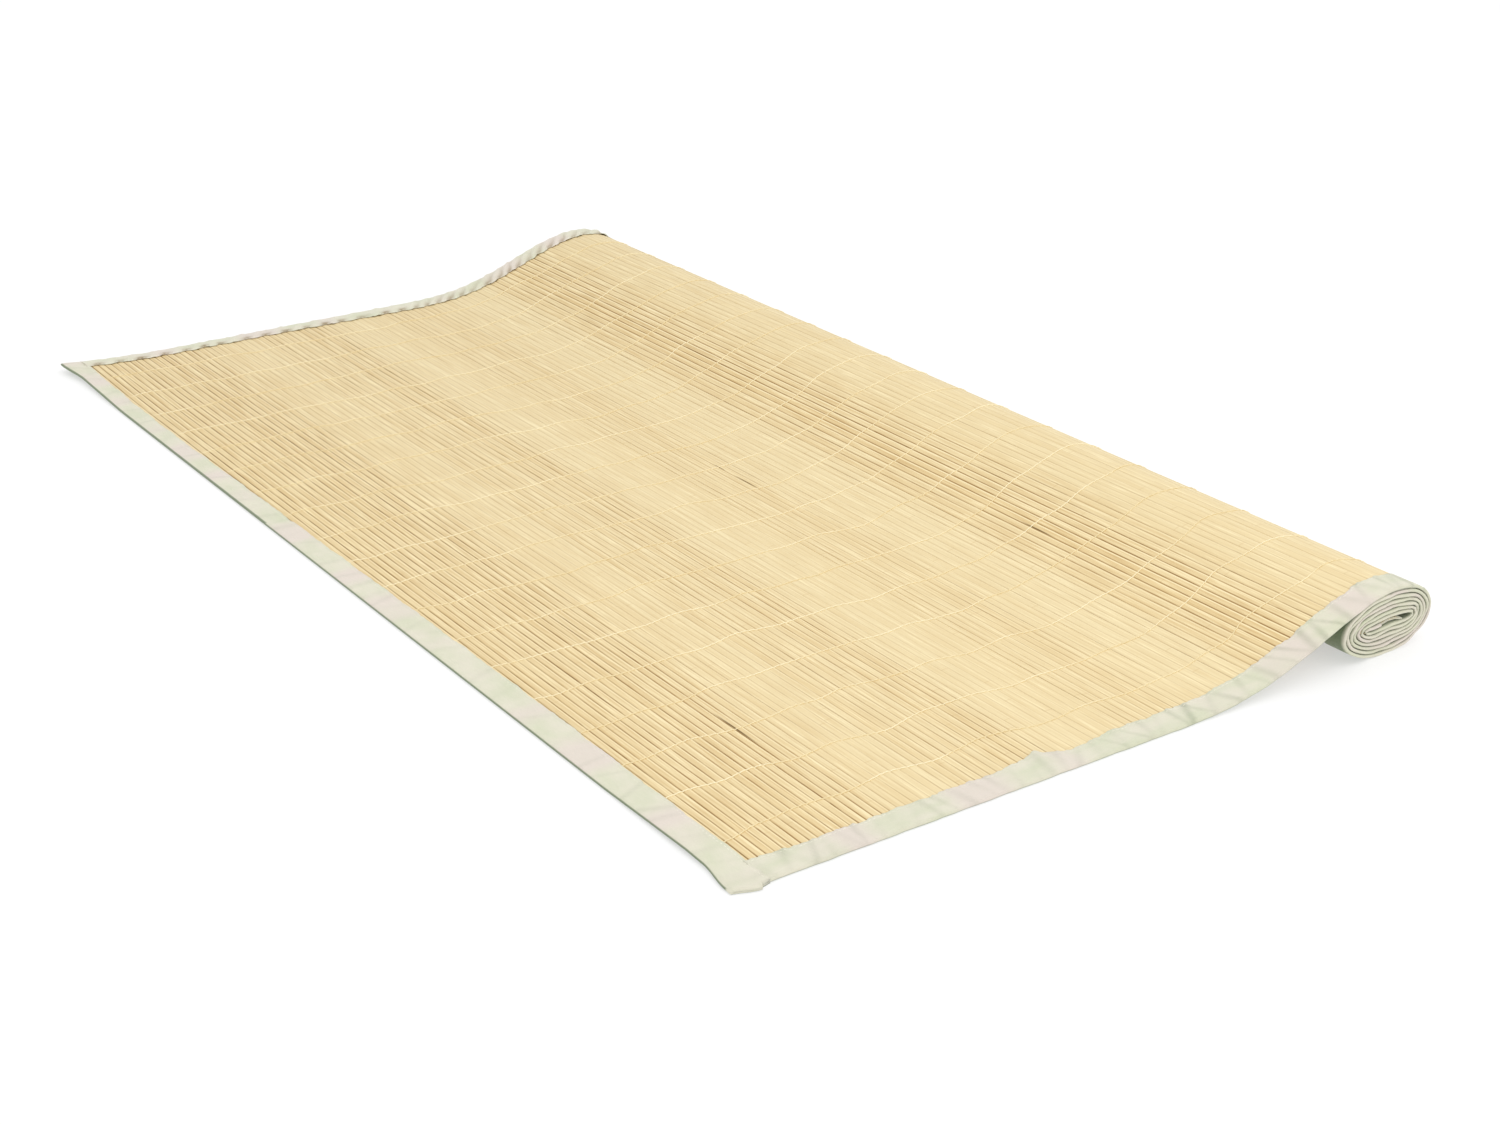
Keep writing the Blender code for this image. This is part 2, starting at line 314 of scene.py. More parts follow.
# Runs a tree once on an object, with its inputs set by their identifiers, and keeps the plain mesh
def runTree(name, tree, run, count, material):
    values = dict(run, Count=count, Material=material)
    carrier = bpy.data.objects.new(name + "Carrier", bpy.data.meshes.new(name + "Start"))
    bpy.context.scene.collection.objects.link(carrier)
    modifier = carrier.modifiers.new(name, "NODES")
    modifier.node_group = tree
    for item in tree.interface.items_tree:
        if item.in_out == "INPUT" and item.name in values:
            modifier[item.identifier] = values[item.name]
    bpy.context.view_layer.update()
    mesh = bpy.data.meshes.new_from_object(carrier.evaluated_get(bpy.context.evaluated_depsgraph_get()))
    carrier.modifiers.clear()
    bpy.data.objects.remove(carrier, do_unlink=True)
    mesh.name = name
    return mesh


def newPiece(name, mesh):
    piece = bpy.data.objects.new(name, mesh)
    bpy.context.scene.collection.objects.link(piece)
    print("%s: %d faces" % (name, len(mesh.polygons)))
    return piece


# Shader groups shared by the materials, whose sockets are all plain values

def newShaderGroup(name, inputs, outputs):
    group = bpy.data.node_groups.new(name, "ShaderNodeTree")
    for way, labels in (("INPUT", inputs), ("OUTPUT", outputs)):
        for label in labels:
            group.interface.new_socket(label, in_out=way, socket_type="NodeSocketFloat")
    return group, group.nodes.new("NodeGroupInput").outputs, group.nodes.new("NodeGroupOutput").inputs


# Long streaks that run along a fibre: bamboo grain, or the ply of a thread
def makeFibreGroup():
    inputs = ("Along", "Across", "Seed", "Along Scale", "Across Scale")
    group, given, result = newShaderGroup("fibreStreaks", inputs, ("Streak", "Patch"))
    place = joinXyz(group, times(group, given["Along"], given["Along Scale"]),
                    times(group, given["Across"], given["Across Scale"]), times(group, given["Seed"], 7.3))
    wide = joinXyz(group, times(group, given["Along"], 9.0), times(group, given["Across"], 60.0),
                   times(group, given["Seed"], 3.1))
    group.links.new(noiseAt(group, place, 3.0, 0.6)[0], result["Streak"])
    group.links.new(noiseAt(group, wide)[0], result["Patch"])
    return group


# A plain weave: yarns one way rise over the others in turn
def makeWeaveGroup():
    inputs = ("Along", "Across", "Yarn Pitch")
    group, given, result = newShaderGroup("plainWeave", inputs, ("Height", "Shade"))
    first = over(group, given["Along"], given["Yarn Pitch"])
    second = over(group, given["Across"], given["Yarn Pitch"])
    cells = plus(group, sums(group, "FLOOR", first), sums(group, "FLOOR", second))
    turn = sums(group, "FLOORED_MODULO", cells, 2.0)
    upper = sums(group, "SINE", times(group, sums(group, "FRACT", first), math.pi))
    lower = sums(group, "SINE", times(group, sums(group, "FRACT", second), math.pi))
    mixed = plus(group, times(group, upper, turn), times(group, lower, minus(group, 1.0, turn)))
    slub = noiseAt(group, joinXyz(group, times(group, first, 0.06), times(group, second, 0.9)))[0]
    group.links.new(mixed, result["Height"])
    group.links.new(slub, result["Shade"])
    return group


fibreGroup = makeFibreGroup()
weaveGroup = makeWeaveGroup()


def linear(red, green, blue):
    return tuple((value / 255 / 12.92) if value <= 10 else ((value / 255 + 0.055) / 1.055) ** 2.4
                 for value in (red, green, blue)) + (1.0,)


def newMaterial(name, roughness, specular):
    material = bpy.data.materials.new(name)
    material.use_nodes = True
    tree = material.node_tree
    shader = tree.nodes["Principled BSDF"]
    shader.inputs["Roughness"].default_value = roughness
    shader.inputs["Specular IOR Level"].default_value = specular
    return material, tree, shader


def mixColours(tree, share, first, second, blend="MIX"):
    made = tree.nodes.new("ShaderNodeMix")
    made.data_type = "RGBA"
    made.blend_type = blend
    for index, value in ((0, share), (6, first), (7, second)):
        if isinstance(value, bpy.types.NodeSocket):
            tree.links.new(value, made.inputs[index])
        else:
            made.inputs[index].default_value = value
    return made.outputs[2]


def surfacePlace(tree):
    place = splitXyz(tree, addNode(tree, "ShaderNodeUVMap", uv_map="surface").outputs[0])
    return place[0], place[1]


def useGroup(tree, group, inputs):
    return addNode(tree, "ShaderNodeGroup", inputs, node_tree=group).outputs


def readValue(tree, name):
    return addNode(tree, "ShaderNodeAttribute", attribute_name=name).outputs["Fac"]


def dimColour(tree, colour, light):
    return mixColours(tree, 1.0, colour, joinXyz(tree, light, light, light), "MULTIPLY")


def finishShader(tree, shader, colour, height, distance, strength):
    bump = addNode(tree, "ShaderNodeBump", {"Height": height, "Distance": distance, "Strength": strength})
    tree.links.new(colour, shader.inputs["Base Color"])
    tree.links.new(bump.outputs[0], shader.inputs["Normal"])


# Split bamboo: the warm share of each slat follows the bands of the mat, from its place along it
slatLooks = {
    "pale": linear(232, 214, 170),
    "warm": linear(225, 201, 151),
    "deep": linear(194, 160, 104),
    "joint": linear(140, 98, 36),
    "node": linear(204, 174, 124),
    "fairAndHighlight": linear(248, 232, 188),
    "shaded": linear(112, 106, 66),
    "gapShade": linear(100, 74, 30),
    # Bands of painted shade, standing in for waves in the sheet, with a warmer tone of the bamboo: their
    # strength at each distance from the front edge, and how much more at the far end
    "bands": ((0.000, 0.50), (0.030, 0.58), (0.125, 0.64), (0.148, 0.28), (0.185, 0.28), (0.200, 0.42),
              (0.235, 0.38), (0.250, 0.50), (0.272, 0.47), (0.288, 0.25), (0.345, 0.17), (0.360, 0.33),
              (0.398, 0.38), (0.414, 0.22), (0.455, 0.24), (0.475, 0.38), (0.492, 0.56), (0.505, 0.82),
              (0.528, 0.82), (0.541, 0.50), (0.556, 0.28), (0.590, 0.20), (0.615, 0.18), (0.645, 0.40),
              (1.0, 0.40)),
    "farBand": (-0.1, 0.5, 0.0, 0.05),
    "farDim": (-0.5, 0.5, 1.0, 0.955),
    # Painted shade of a few wider gaps between slats: place along the mat, place along the slat, and half
    # their size each way
    "gapShades": ((0.1197, 0.178, 0.0008, 0.030), (0.3903, 0.556, 0.0007, 0.022),
              (0.3903, 0.599, 0.0005, 0.011), (0.5025, 0.292, 0.0007, 0.022)),
    # Ranges: from, to, and what these become
    "shadeAndTone": (0.12, 0.85, 0.06, 1.25),
    "grain": (0.46, 0.72, 0.0, 0.85),
    "fair": (0.44, 0.30, 0.0, 0.7),
    "nodeRing": (0.0, 0.003, 0.35, 0.0),
    "highlightLine": (0.0, 0.24, 0.95, 0.0),
    "jointLine": (0.70, 0.98, 0.0, 1.0),
    "breaks": (0.34, 0.62, 0.48, 1.12),
    "atRow": (0.03, 0.09, 0.62, 1.0),
    "rough": (0.0, 1.0, 0.40, 0.66),
    "seedSpread": 91.0,
    "grainAlong": 19.0,
    "grainAcross": 520.0,
    "toneSpread": 0.50,
    "patchSpread": 0.45,
    "grainLeast": 0.14,
    "grainInShade": 0.52,
    "nodePitch": 0.31,
    "highlightPlace": 0.62,
    "breaksAlong": 24.0,
    "jointMost": 0.95,
    "rowPitch": 0.060,
    "roughness": 0.5,
    "specular": 0.2,
    "bumpHeight": 0.00025,
}


def makeSlatMaterial():
    looks = slatLooks
    material, tree, shader = newMaterial("splitBamboo", looks["roughness"], looks["specular"])
    along, reach = surfacePlace(tree)
    tone, across, middle = [readValue(tree, name) for name in ("slatTone", "acrossSlat", "slatMiddle")]
    seed = times(tree, tone, looks["seedSpread"])

    # The mat's bands of painted shade and warmer tone, each slat's own tone and the patches in it choose
    # between pale and warm
    ramp = addNode(tree, "ShaderNodeValToRGB", {0: middle})
    points = ramp.color_ramp.elements
    while len(points) < len(looks["bands"]):
        points.new(0.5)
    for point, (where, share) in zip(points, looks["bands"]):
        point.position = where
        point.color = (share, share, share, 1.0)
    band = plus(tree, ramp.outputs[0], mapRange(tree, along, *looks["farBand"]))
    shadeAndTone = mapRange(tree, band, *looks["shadeAndTone"])
    fibre = useGroup(tree, fibreGroup, {
        "Along": along, "Across": reach, "Seed": seed,
        "Along Scale": looks["grainAlong"], "Across Scale": looks["grainAcross"]})
    streak, patch = fibre["Streak"], fibre["Patch"]
    warmth = plus(tree, band, times(tree, minus(tree, tone, 0.5), looks["toneSpread"]))
    warmth = plus(tree, warmth, times(tree, minus(tree, patch, 0.5), looks["patchSpread"]))
    base = mixColours(tree, warmth, looks["pale"], looks["warm"])

    # Dark and fair grain, the rings of the cane, and a painted highlight along one edge of each slat's crown;
    # the grain and the highlight show more in the bands of painted shade
    shown = plus(tree, times(tree, shadeAndTone, looks["grainInShade"]), looks["grainLeast"])
    base = mixColours(tree, times(tree, mapRange(tree, streak, *looks["grain"]), shown), base, looks["deep"])
    base = mixColours(tree, mapRange(tree, streak, *looks["fair"]), base, looks["fairAndHighlight"])
    phase = plus(tree, over(tree, along, looks["nodePitch"]), times(tree, tone, 17.0))
    fromRing = apartFrom(tree, sums(tree, "FRACT", phase), 0.5)
    base = mixColours(tree, mapRange(tree, fromRing, *looks["nodeRing"]), base, looks["node"])
    fromHighlight = apartFrom(tree, across, looks["highlightPlace"])
    fairAndHighlight = times(tree, mapRange(tree, fromHighlight, *looks["highlightLine"]), shadeAndTone)
    base = mixColours(tree, fairAndHighlight, base, looks["fairAndHighlight"])

    # Painted shade in the joints between the slats, stronger in the bands: uneven along each slat, and
    # fainter at the thread rows
    edge = mapRange(tree, sums(tree, "ABSOLUTE", across), *looks["jointLine"])
    flank = times(tree, sums(tree, "SIGN", across), 3.7)
    spot = joinXyz(tree, times(tree, along, looks["breaksAlong"]), seed, flank)
    uneven = noiseAt(tree, spot, 2.0, 0.6)[0]
    rowPhase = sums(tree, "FRACT", plus(tree, over(tree, along, looks["rowPitch"]), 0.5))
    atRow = mapRange(tree, apartFrom(tree, rowPhase, 0.5), *looks["atRow"])
    strength = times(tree, times(tree, shadeAndTone, atRow), mapRange(tree, uneven, *looks["breaks"]))
    lines = times(tree, edge, sums(tree, "MINIMUM", strength, looks["jointMost"]))
    base = mixColours(tree, lines, base, looks["joint"])

    # Painted shade of the wider gaps between slats
    for gapReach, gapPlace, halfReach, halfPlace in looks["gapShades"]:
        ahead = over(tree, minus(tree, reach, gapReach), halfReach)
        aside = over(tree, minus(tree, along, gapPlace - mat["width"] / 2), halfPlace)
        apart = plus(tree, times(tree, ahead, ahead), times(tree, aside, aside))
        base = mixColours(tree, mapRange(tree, apart, 0.0, 1.0, 1.0, 0.0), base, looks["gapShade"])

    # The stretch under the rise lies in shade
    enter = mapRange(tree, middle, wedge[0], wedge[1])
    leave = mapRange(tree, middle, wedge[3], wedge[2])
    base = mixColours(tree, times(tree, enter, leave), base, looks["shaded"])
    base = dimColour(tree, base, mapRange(tree, along, *looks["farDim"]))
    tree.links.new(mapRange(tree, streak, *looks["rough"]), shader.inputs["Roughness"])
    finishShader(tree, shader, base, streak, looks["bumpHeight"], 0.5)
    return material


# Cotton tape: a fine plain weave, a little uneven in colour
tapeLooks = {
    "light": linear(227, 223, 203),
    "shade": linear(215, 217, 190),
    "blush": linear(228, 216, 206),
    # Painted shade colours, read through the tape's painted shade value: for the near and front tapes, and
    # for the far tape
    "paintedShade": linear(106, 121, 91),
    "farPaintedShade": linear(146, 124, 86),
    "yarnPitch": 0.00045,
    "cloudAlong": 26.0,
    "cloudAcross": 60.0,
    "cloud": (0.38, 0.66, 0.0, 1.0),
    "blushAlong": 17.0,
    "blushRange": (0.48, 0.62, 0.0, 0.85),
    "yarnLight": (0.0, 1.0, 0.88, 1.0),
    "slubLight": (0.0, 1.0, 0.94, 1.04),
    "sheen": 0.25,
    "sheenRoughness": 0.5,
    "roughness": 0.9,
    "specular": 0.15,
    "bumpHeight": 0.0001,
}


def makeTapeMaterial(name, shadeColour):
    looks = tapeLooks
    material, tree, shader = newMaterial(name, looks["roughness"], looks["specular"])
    shader.inputs["Sheen Weight"].default_value = looks["sheen"]
    shader.inputs["Sheen Roughness"].default_value = looks["sheenRoughness"]
    along, across = surfacePlace(tree)
    weave = useGroup(tree, weaveGroup, {"Along": along, "Across": across, "Yarn Pitch": looks["yarnPitch"]})
    spot = joinXyz(tree, times(tree, along, looks["cloudAlong"]), times(tree, across, looks["cloudAcross"]))
    cloud = noiseAt(tree, spot, 3.0)[0]
    base = mixColours(tree, mapRange(tree, cloud, *looks["cloud"]), looks["light"], looks["shade"])
    warm = noiseAt(tree, joinXyz(tree, times(tree, along, looks["blushAlong"]), 4.0), 1.0)[0]
    base = mixColours(tree, mapRange(tree, warm, *looks["blushRange"]), base, looks["blush"])
    light = times(tree, mapRange(tree, weave["Height"], *looks["yarnLight"]),
                  mapRange(tree, weave["Shade"], *looks["slubLight"]))
    # Painted shade from the tape's painted shade value
    base = mixColours(tree, readValue(tree, "paintedShade"), dimColour(tree, base, light), shadeColour)
    finishShader(tree, shader, base, weave["Height"], looks["bumpHeight"], 0.5)
    return material


# Spun thread, for the woven rows and for the sewing
threadLooks = {
    "warp": (linear(252, 240, 204), linear(241, 223, 178)),
    "sewing": (linear(248, 244, 230), linear(226, 224, 204)),
    "shadeAndTone": (0.42, 0.58, 0.0, 1.0),
    "plySeed": 1.7,
    "plyAlong": 900.0,
    "plyAcross": 3.0,
    "roughness": 0.8,
    "specular": 0.2,
    "bumpHeight": 0.0001,
}


def makeThreadMaterial(name, colours):
    looks = threadLooks
    material, tree, shader = newMaterial(name, looks["roughness"], looks["specular"])
    along, across = surfacePlace(tree)
    fibre = useGroup(tree, fibreGroup, {
        "Along": along, "Across": across, "Seed": looks["plySeed"],
        "Along Scale": looks["plyAlong"], "Across Scale": looks["plyAcross"]})
    base = mixColours(tree, mapRange(tree, fibre["Patch"], *looks["shadeAndTone"]), *colours)
    finishShader(tree, shader, base, fibre["Streak"], looks["bumpHeight"], 0.6)
    return material


bambooMaterial = makeSlatMaterial()
tapeMaterial = makeTapeMaterial("cottonTape", tapeLooks["paintedShade"])
farTapeMaterial = makeTapeMaterial("farCottonTape", tapeLooks["farPaintedShade"])
warpMaterial = makeThreadMaterial("warpThread", threadLooks["warp"])
sewingMaterial = makeThreadMaterial("sewingThread", threadLooks["sewing"])
print("materials made")


# The slats

slatRun = {
    "Slat Pitch": mat["slatPitch"],
    "Slat Width": 0.00664,
    "Slat Length": mat["width"] - 0.0030,
    "Slat Thickness": mat["slatThick"],
    "Crown Drop": 0.00024,
    "Lengths": 20,
    "Tilt": math.radians(1.8),
    "Bow": 0.0009,
    "Seed": 11,
}


def makeSlatTree():
    tree, given, result = newTree("slatRun", slatRun)
    width, length = given["Slat Width"], given["Slat Length"]
    start = joinXyz(tree, times(tree, given["Slat Pitch"], 0.5))
    row = shape(tree, "MeshLine", {"Count": given["Count"], "Start Location": start,
                                   "Offset": joinXyz(tree, given["Slat Pitch"])})
    size = joinXyz(tree, width, length, given["Slat Thickness"])
    blank = shape(tree, "MeshCube", {"Size": size, "Vertices X": 4, "Vertices Z": 2,
                                     "Vertices Y": plus(tree, given["Lengths"], 1.0)})

    # The inner lines of points move out next to the edges, the top edges drop a little, and the cuts
    # across gather towards the ends
    spot = pointPlace(tree)
    isEdge = sums(tree, "GREATER_THAN", sums(tree, "ABSOLUTE", spot[0]), times(tree, width, 0.25))
    isTop = sums(tree, "GREATER_THAN", spot[2], 0.0)
    widen = minus(tree, 1.9, times(tree, isEdge, 0.9))
    drop = times(tree, times(tree, isEdge, isTop), given["Crown Drop"])
    share = plus(tree, over(tree, spot[1], length), 0.5)
    wave = sums(tree, "SINE", times(tree, share, 2 * math.pi))
    shift = times(tree, times(tree, wave, -0.7 / (2 * math.pi)), length)
    place = joinXyz(tree, times(tree, spot[0], widen), plus(tree, spot[1], shift), minus(tree, spot[2], drop))
    shaped = shape(tree, "SetPosition", {"Geometry": blank, "Position": place})
    edge = over(tree, spot[0], times(tree, width, 0.5))
    marked = storeValue(tree, shaped, "acrossSlat", edge, "POINT")

    # Each slat is tilted a little, and has its own tone and its place along the mat for the material
    turn = randomBetween(tree, times(tree, given["Tilt"], -1.0), given["Tilt"], given["Seed"])
    laid = shape(tree, "InstanceOnPoints",
                 {"Points": row, "Instance": marked, "Rotation": joinXyz(tree, 0.0, turn)})
    tone = randomBetween(tree, 0.0, 1.0, plus(tree, given["Seed"], 5.0))
    toned = storeValue(tree, laid, "slatTone", tone, "INSTANCE")
    placed = storeValue(tree, toned, "slatMiddle", pointPlace(tree)[0], "INSTANCE")
    real = shape(tree, "RealizeInstances", {"Geometry": placed})

    # No slat is quite straight
    now = pointPlace(tree)
    ownTone = shape(tree, "InputNamedAttribute", {"Name": "slatTone"})
    noise = noiseAt(tree, joinXyz(tree, times(tree, ownTone, 300.0), times(tree, now[1], 9.0)), 1.0)
    channels = addNode(tree, "FunctionNodeSeparateColor", {0: noise["Color"]}).outputs
    bowX = times(tree, minus(tree, channels[0], 0.5), given["Bow"])
    bowZ = times(tree, minus(tree, channels[1], 0.5), times(tree, given["Bow"], 0.4))
    bowed = shape(tree, "SetPosition", {"Geometry": real, "Offset": joinXyz(tree, bowX, 0.0, bowZ)})
    endTree(tree, bowed, (now[1], now[0]), given["Material"], result)
    return tree


def makeSlats():
    count = int((matLength - mat["firstSlat"]) / mat["slatPitch"])
    mesh = runTree("slats", makeSlatTree(), slatRun, count, bambooMaterial)
    writePlaces(mesh, readPlaces(mesh) + (mat["firstSlat"], mat["width"] / 2, 0.0))
    windUp(mesh)
    mesh.shade_smooth()
    mesh.set_sharp_from_angle(angle=math.radians(40))
    return newPiece("slats", mesh)


# The warp threads that hold the slats: each passes over every slat and dips into every joint

warpRun = {
    "Row Count": 19,
    "Row Pitch": 0.060,
    "Slat Pitch": mat["slatPitch"],
    "Points A Slat": 5,
    "Over": 0.00098,
    "Dip": 0.00062,
    "Wander": 0.0060,
    "Thread Radius": 0.00048,
    "Sides": 5,
    "Seed": 3,
}
lowerRun = {
    "Over": -0.00098,
    "Dip": -0.0001,
    "Thread Radius": 0.00024,
    "Sides": 4,
    "Points A Slat": 3,
    "Seed": 8,
}
warpEnds = {
    "start": 0.0165,
    "stop": 0.86,
    "slatsBefore": 3,
    "underTape": 0.0262,           # up to here the front tape presses the threads in between the slats
    "pressed": 0.0005,
}


def makeWarpTree():
    tree, given, result = newTree("warpRows", warpRun)
    points = plus(tree, times(tree, given["Count"], given["Points A Slat"]), 1.0)
    step = over(tree, given["Slat Pitch"], given["Points A Slat"])
    line = shape(tree, "MeshLine", {"Count": points, "Offset": joinXyz(tree, step)})
    thread = shape(tree, "MeshToCurve", {"Mesh": line})
    apart = joinXyz(tree, 0.0, given["Row Pitch"])
    rows = shape(tree, "MeshLine", {"Count": given["Row Count"], "Start Location": apart, "Offset": apart})
    laid = shape(tree, "InstanceOnPoints", {"Points": rows, "Instance": thread})
    real = shape(tree, "RealizeInstances", {"Geometry": laid})
    now = pointPlace(tree)
    phase = sums(tree, "FRACT", plus(tree, over(tree, now[0], given["Slat Pitch"]), 0.001))
    fromJoint = sums(tree, "MINIMUM", phase, minus(tree, 1.0, phase))
    lift = mapRange(tree, fromJoint, 0.01, 0.16, given["Dip"], given["Over"])

    # The rows wander in long waves and in short ones
    wide = []
    for pitch, most in ((7.0, 2.0), (24.0, 2.5)):
        spot = joinXyz(tree, times(tree, now[0], pitch), times(tree, now[1], 40.0), given["Seed"])
        wide.append(times(tree, minus(tree, noiseAt(tree, spot, 0.0)[0], 0.5), most))
    offset = joinXyz(tree, 0.0, times(tree, plus(tree, *wide), given["Wander"]), lift)
    moved = shape(tree, "SetPosition", {"Geometry": real, "Offset": offset})
    tube = tubeAlong(tree, moved, given["Thread Radius"], given["Sides"])
    end = pointPlace(tree)
    endTree(tree, tube, (end[0], end[1]), given["Material"], result)
    return tree


def makeWarpThreads(name, tree, changes):
    count = int((warpEnds["stop"] - warpEnds["start"]) / mat["slatPitch"])
    mesh = runTree(name, tree, dict(warpRun, **changes), count, warpMaterial)
    places = readPlaces(mesh)
    places[:, 0] += mat["firstSlat"] + mat["slatPitch"] * warpEnds["slatsBefore"]
    under = places[:, 0] < warpEnds["underTape"]
    places[under, 2] -= np.sign(places[under, 2]) * warpEnds["pressed"]
    writePlaces(mesh, places)
    windUp(mesh)
    mesh.shade_smooth()
    return newPiece(name, mesh)


# The bindings: a cloth tape folded round an edge, its two flaps sewn down together

tape = {
    "flap": 0.0243,
    "wall": 0.0004,
    "openHalf": 0.00145,           # half the tape's thickness where it lies open
    "woundHalf": (0.00130, 0.00185),   # and the least and most where it is wound
    "spare": 0.0002,
    "slatGap": 0.00015,
    "stitchInset": 0.0022,
    "stitchReach": 0.0009,
    "pressed": 0.0002,             # how far the top may sink
    "shut": 0.00005,
    "openStep": 0.0022,
    "woundStep": 0.0042,
    "openPast": 0.08,              # the fine step goes on this far past the top of the roll
    "foldPoints": 5,
    "topPlaces": (1.0, 0.985, 0.95, 0.905, 0.86, 0.78, 0.68, 0.57, 0.46, 0.35, 0.25, 0.16, 0.09),
    "underPlaces": (0.10, 0.35, 0.65, 0.90, 1.0),
}


# Soft creases across a tape, each with its own place, slant, width and height
creaseRanges = {
    "gap": (0.6, 1.5),
    "wide": (0.0012, 0.0036),
    "high": (0.25, 1.0),
    "inner": (0.3, 1.0),
    "outer": (0.1, 1.0),
    "near": 0.05,                  # creases further off than this aren't counted
}


class Creases:
    def __init__(self, seed, length, spacing, height, slant):
        random = np.random.default_rng(seed)
        gaps = random.uniform(*creaseRanges["gap"], int(length / spacing) + 2)
        places = np.cumsum(gaps * spacing)
        self.place = places[places < length]
        count = len(self.place)
        self.slant = random.uniform(-slant, slant, count)
        self.wide = random.uniform(*creaseRanges["wide"], count)
        self.high = random.uniform(*creaseRanges["high"], count) * height
        self.inner = random.uniform(*creaseRanges["inner"], count)
        self.outer = random.uniform(*creaseRanges["outer"], count)

    def at(self, along, share):
        total = 0.0
        near = np.abs(self.place - along) < creaseRanges["near"]
        rows = (self.place, self.slant, self.wide, self.high, self.inner, self.outer)
        for place, slant, wide, high, inner, outer in zip(*(row[near] for row in rows)):
            offset = (along - place - slant * (share - 0.5)) / wide
            total += high * (outer + (inner - outer) * share) * math.exp(-offset * offset)
        return total


# Uneven waves, each with its seed and its pitch
waves = {
    "jag": (3, 0.08),
    "nearEdge": (8, 0.05),
    "frontEdge": (9, 0.07),
    "sideRipple": (12, 0.03),
    "frontRipple": (13, 0.05),
    "frontFine": (14, 0.013),
    "swell": (17, 0.13),
    "dip": (18, 0.07),
    "farEdge": (21, 0.05),
    "nearFine": (25, 0.021),
    "nearFold": (30, 0.045),
    "farFold": (31, 0.045),
}
harmonics = ((0.45, 1.0, 1.1), (0.3, 1.73, 2.3), (0.17, 2.61, 3.7), (0.08, 4.1, 5.9))


def wavy(name, place):
    seed, pitch = waves[name]
    return sum(share * math.sin(2 * math.pi * place / pitch * turn + seed * step)
               for share, turn, step in harmonics)


def bumpAt(offset, reach, height):
    return height * math.exp(-(offset / reach) ** 2)


def sureShare(value):
    return min(max(value, 0.0), 1.0)


# One ring round the tape, as (distance in from the fold, height above the sheet's middle)
def tapeRing(flap, half, inside, raised, shut=False):
    wall = tape["wall"]
    outer = [(flap * share, half + raised(share)) for share in tape["topPlaces"]]
    for step in range(1, tape["foldPoints"] + 1):
        angle = math.pi / 2 + math.pi * step / (tape["foldPoints"] + 1)
        outer.append((half + half * math.cos(angle), half * math.sin(angle)))
    outer += [(flap * share, -half) for share in tape["underPlaces"]]
    inner = []
    for place, height in outer:
        if height >= half * 0.9 and place > half:
            inner.append((place, inside if shut else max(height - wall, inside)))
        elif height <= -half * 0.9 and place > half:
            inner.append((place, -inside))
        else:
            scale = inside / half
            inner.append((max(half + (place - half) * scale, wall * 1.2), height * scale))
    return outer + inner[::-1]


# The painted shade value darkens the tape: where it is folded in between the turns, where it faces the wedge,
# on its underside and on the flanks of creases and bulges
def ringsToMesh(name, rings, distances, paintedShades, material):
    count = len(rings[0])
    vertices = [point for ring in rings for point in ring]
    faces = []
    for station in range(len(rings) - 1):
        for index in range(count):
            after = (index + 1) % count
            faces.append((station * count + index, station * count + after,
                          (station + 1) * count + after, (station + 1) * count + index))
    half = count // 2
    last = (len(rings) - 1) * count
    for index in range(half - 1):
        mirror = count - 1 - index
        faces.append((index, mirror, mirror - 1, index + 1))
        faces.append((last + index, last + index + 1, last + mirror - 1, last + mirror))
    mesh = bpy.data.meshes.new(name)
    mesh.from_pydata(vertices, [], faces)
    layer = mesh.uv_layers.new(name="surface")
    girth = [0.0]
    for before, after in zip(rings[0], rings[0][1:]):
        girth.append(girth[-1] + math.dist(before, after))
    spots = [(distance, place) for distance in distances for place in girth]
    for loop in mesh.loops:
        layer.data[loop.index].uv = spots[loop.vertex_index]
    values = mesh.attributes.new("paintedShade", "FLOAT", "POINT").data
    values.foreach_set("value", [value for row in paintedShades for value in row])
    mesh.materials.append(material)
    return mesh


def faceOutwards(mesh):
    joined = bmesh.new()
    joined.from_mesh(mesh)
    bmesh.ops.recalc_face_normals(joined, faces=joined.faces)
    joined.to_mesh(mesh)
    joined.free()


def finishPiece(name, mesh):
    windUp(mesh)
    faceOutwards(mesh)
    mesh.shade_smooth()
    return newPiece(name, mesh)


def stationsAlong(start, stop):
    places = [start]
    while places[-1] < stop:
        isOpen = places[-1] < rollStart + tape["openPast"]
        step = tape["openStep" if isOpen else "woundStep"]
        places.append(min(places[-1] + step, stop))
    return places


